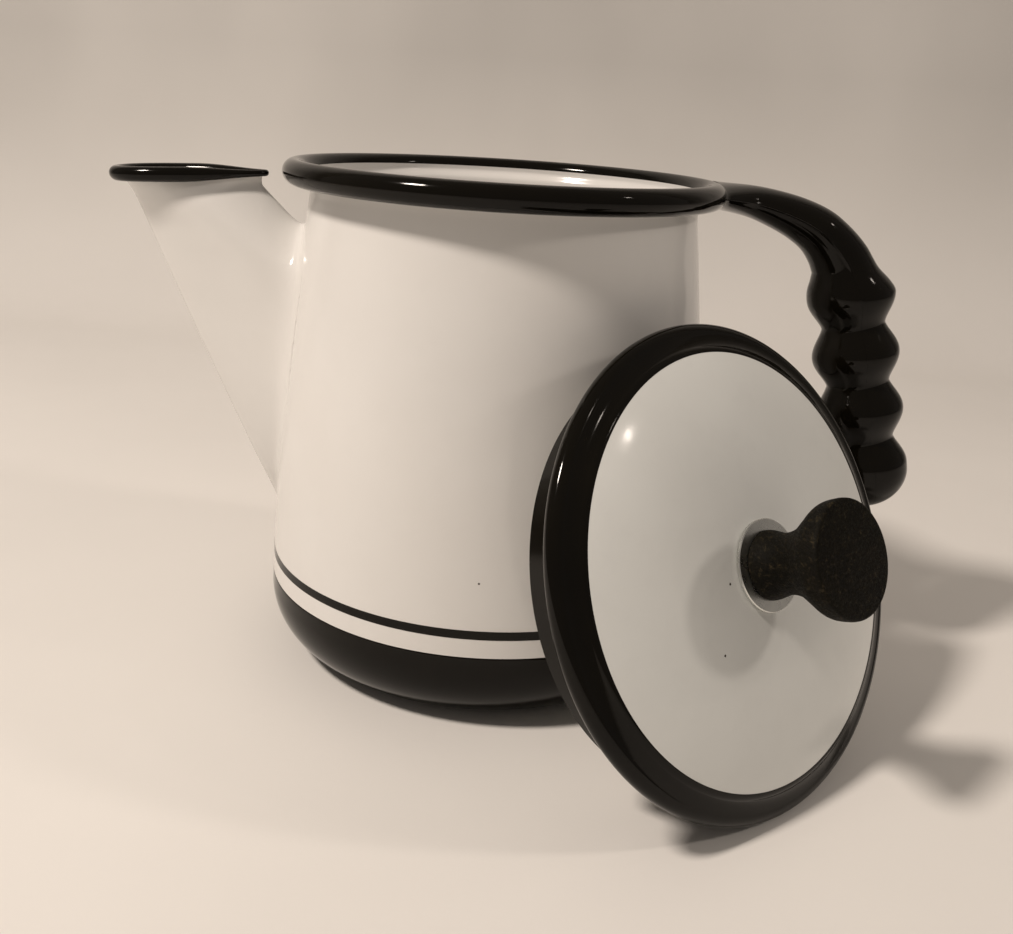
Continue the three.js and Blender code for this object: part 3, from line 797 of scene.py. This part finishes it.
def make_lid_rim():
    """The black shoulder, a shallow groove and the rolled edge, all one hollow ring."""
    middle = -SHOULDER
    profile = arc(DOME_RADIUS - 0.02, middle, SHOULDER + 0.05, 90, 38, 14)
    groove = (DOME_RADIUS + 3.4, middle + 0.62)
    start = profile[-1]
    end = arc(LID_BEAD_RING, LID_BEAD_H, LID_BEAD_RADIUS, 96, -150, 46)
    profile += [
        tuple((1 - t) ** 2 * start[k] + 2 * (1 - t) * t * groove[k] + t**2 * end[0][k] for k in (0, 1))
        for t in np.linspace(0.08, 0.94, 12)
    ]
    profile += end
    profile += arc(LID_BEAD_RING, LID_BEAD_H, LID_BEAD_RADIUS - LID_EDGE_SHEET, -150, 150, 30)
    profile += [(DOME_RADIUS + SHOULDER - LID_EDGE_SHEET, middle - 1.5)]
    profile += arc(DOME_RADIUS, middle, SHOULDER - LID_EDGE_SHEET, 0, 90, 10)
    return lathe("enamelled_lid_rim", profile, segments=320, place=LID)


def make_lid_flange():
    inner = FLANGE_RADIUS - SHEET
    edge = 0.3
    profile = [(inner, FLANGE_BOTTOM + edge), (inner + edge, FLANGE_BOTTOM)]
    profile += [(FLANGE_RADIUS - edge, FLANGE_BOTTOM), (FLANGE_RADIUS, FLANGE_BOTTOM + edge)]
    profile += [(FLANGE_RADIUS, FLANGE_TOP), (inner, FLANGE_TOP)]
    return lathe("enamelled_lid_flange", profile, segments=320, place=LID)


def make_knob():
    middle = (KNOB_FOOT + KNOB_FACE) / 2
    outline = through([
        (KNOB_FOOT, 9.7), (14, 8.4), (middle - 1.2, 9.6), (middle + 3.6, 12.8), (middle + 7.4, 15.4),
        (middle + 11.2, 16.0), (KNOB_FACE - KNOB_EDGE, 15.9),
    ])
    heights = np.linspace(KNOB_FOOT, KNOB_FACE - KNOB_EDGE, 70)
    profile = [(0.0, INSERT_TOP), (INSERT_RADIUS, INSERT_TOP), (INSERT_RADIUS, KNOB_FOOT)]
    profile += [(float(outline(h)), h) for h in heights]
    profile += [(15.75, KNOB_FACE - 0.35), (15.45, KNOB_FACE - 0.1), (15.1, KNOB_FACE)]
    profile += [(0.0, KNOB_FACE)]
    return lathe("turned_knob", profile, closed=False, segments=160, place=LID, sharp=50)


def make_washer(name, inner, outer, bottom, top):
    edge = 0.25
    profile = [(inner, bottom), (outer - edge, bottom), (outer, bottom + edge), (outer, top - edge)]
    profile += [(outer - edge, top), (inner + edge, top), (inner, top - edge)]
    return lathe(name, profile, segments=128, place=LID)


# ---- Build ----
POT_PIECES = [
    (make_body_wall, "white_enamel", WHITE, ["body_wall"]),
    (make_base_pan, "black_enamel", BLACK, ["base_pan"]),
    (make_stripe, "black_enamel", BLACK, []),
    (make_rim_bead, "black_enamel", BLACK, ["rim_bead"]),
    (make_spout_shell, "white_enamel", WHITE, ["spout_shell"]),
    (make_spout_rim, "black_enamel", BLACK, ["spout_rim"]),
]
for make, slot, material, nodes in POT_PIECES:
    finish_piece(make(), "pot", slot, material, *nodes)
HANDLE_HALVES = [
    ("handle_outer_half", 1, "handle_outer_shell"),
    ("handle_inner_half", -1, "handle_inner_shell"),
]
for name, sign, node in HANDLE_HALVES:
    finish_piece(make_handle_half(name, sign), "pot", "black_enamel", BLACK, node)

LID_PIECES = [
    (make_lid_dome(), "white_enamel", LID_WHITE, ["lid_dome"]),
    (make_lid_rim(), "black_enamel", BLACK, ["lid_rim"]),
    (make_lid_flange(), "black_enamel", BLACK, ["lid_flange"]),
    (make_knob(), "knob_wood", WOOD, ["knob"]),
    (make_washer("bright_knob_washer", 2.2, 13.0, 6.4, 7.4), "steel", WASHER, ["knob_washer"]),
]
for piece, slot, material, nodes in LID_PIECES:
    finish_piece(piece, "lid", slot, material, *nodes)

CARRIED = {
    "rim_wire": STEEL, "spout_rim_wire": STEEL, "handle_tang": STEEL, "lid_rim_wire": STEEL,
    "knob_screw": STEEL, "lid_inner_washer": STEEL, "lock_washer": STEEL, "knob_insert": BRASS,
}
for node, material in CARRIED.items():
    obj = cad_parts[node]
    obj.data.materials.clear()
    obj.data.materials.append(material)


# ---- Floor, backdrop and light ----
def make_stage():
    """A pale floor that runs up into a pale backdrop in one sweep."""
    floor_y, bend, width, height = 470.0, 160.0, 3000.0, 1800.0
    profile = [(-2500.0, 0.0)] + [(y, 0.0) for y in np.linspace(-2000, floor_y, 12)]
    profile += [(floor_y + bend * sin(a), bend * (1 - cos(a))) for a in np.linspace(0.1, pi / 2, 12)]
    profile += [(floor_y + bend, height)]
    points = [(side * width, y, z) for y, z in profile for side in (-1, 1)]
    faces = [[2 * i, 2 * i + 1, 2 * i + 3, 2 * i + 2] for i in range(len(profile) - 1)]
    sweep = add_mesh("pale_sweep", points, faces)
    sweep.data.materials.append(pale_cloth("pale_sweep", (0.82, 0.80, 0.77), (0.79, 0.77, 0.74)))
    sweep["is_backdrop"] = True


def make_light(name, at, size, power, colour, glossy=True):
    """A round area light, aimed at the middle of the kettle. It shows in gloss only if glossy."""
    lamp = bpy.data.lights.new(name, "AREA")
    lamp.shape = "DISK"
    lamp.size = size * MM
    lamp.energy = power
    lamp.color = colour
    obj = bpy.data.objects.new(name, lamp)
    bpy.context.scene.collection.objects.link(obj)
    obj.location = Vector(at) * MM
    aim = Vector((10, -20, 80)) * MM - obj.location
    obj.rotation_mode = "QUATERNION"
    obj.rotation_quaternion = aim.to_track_quat("-Z", "Y")
    obj.visible_glossy = glossy


make_stage()
TINT = (1.0, 0.885, 0.785)
make_light("key_left", (-690, -440, 1090), 190, 13.6, TINT)
make_light("lamp_right", (1140, -260, 800), 130, 2.7, TINT, glossy=False)
make_light("small_glint", (1010, -349, 957), 60, 0.35, TINT)
world = bpy.data.worlds.new("soft_room")
world.use_nodes = True
world.node_tree.nodes["Background"].inputs["Color"].default_value = (*TINT, 1)
world.node_tree.nodes["Background"].inputs["Strength"].default_value = 0.2
bpy.context.scene.world = world
bpy.context.scene.view_settings.view_transform = "Standard"

VISUAL_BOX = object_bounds()
[[list(corner) for corner in box] for box in (CAD_BOX, VISUAL_BOX)]
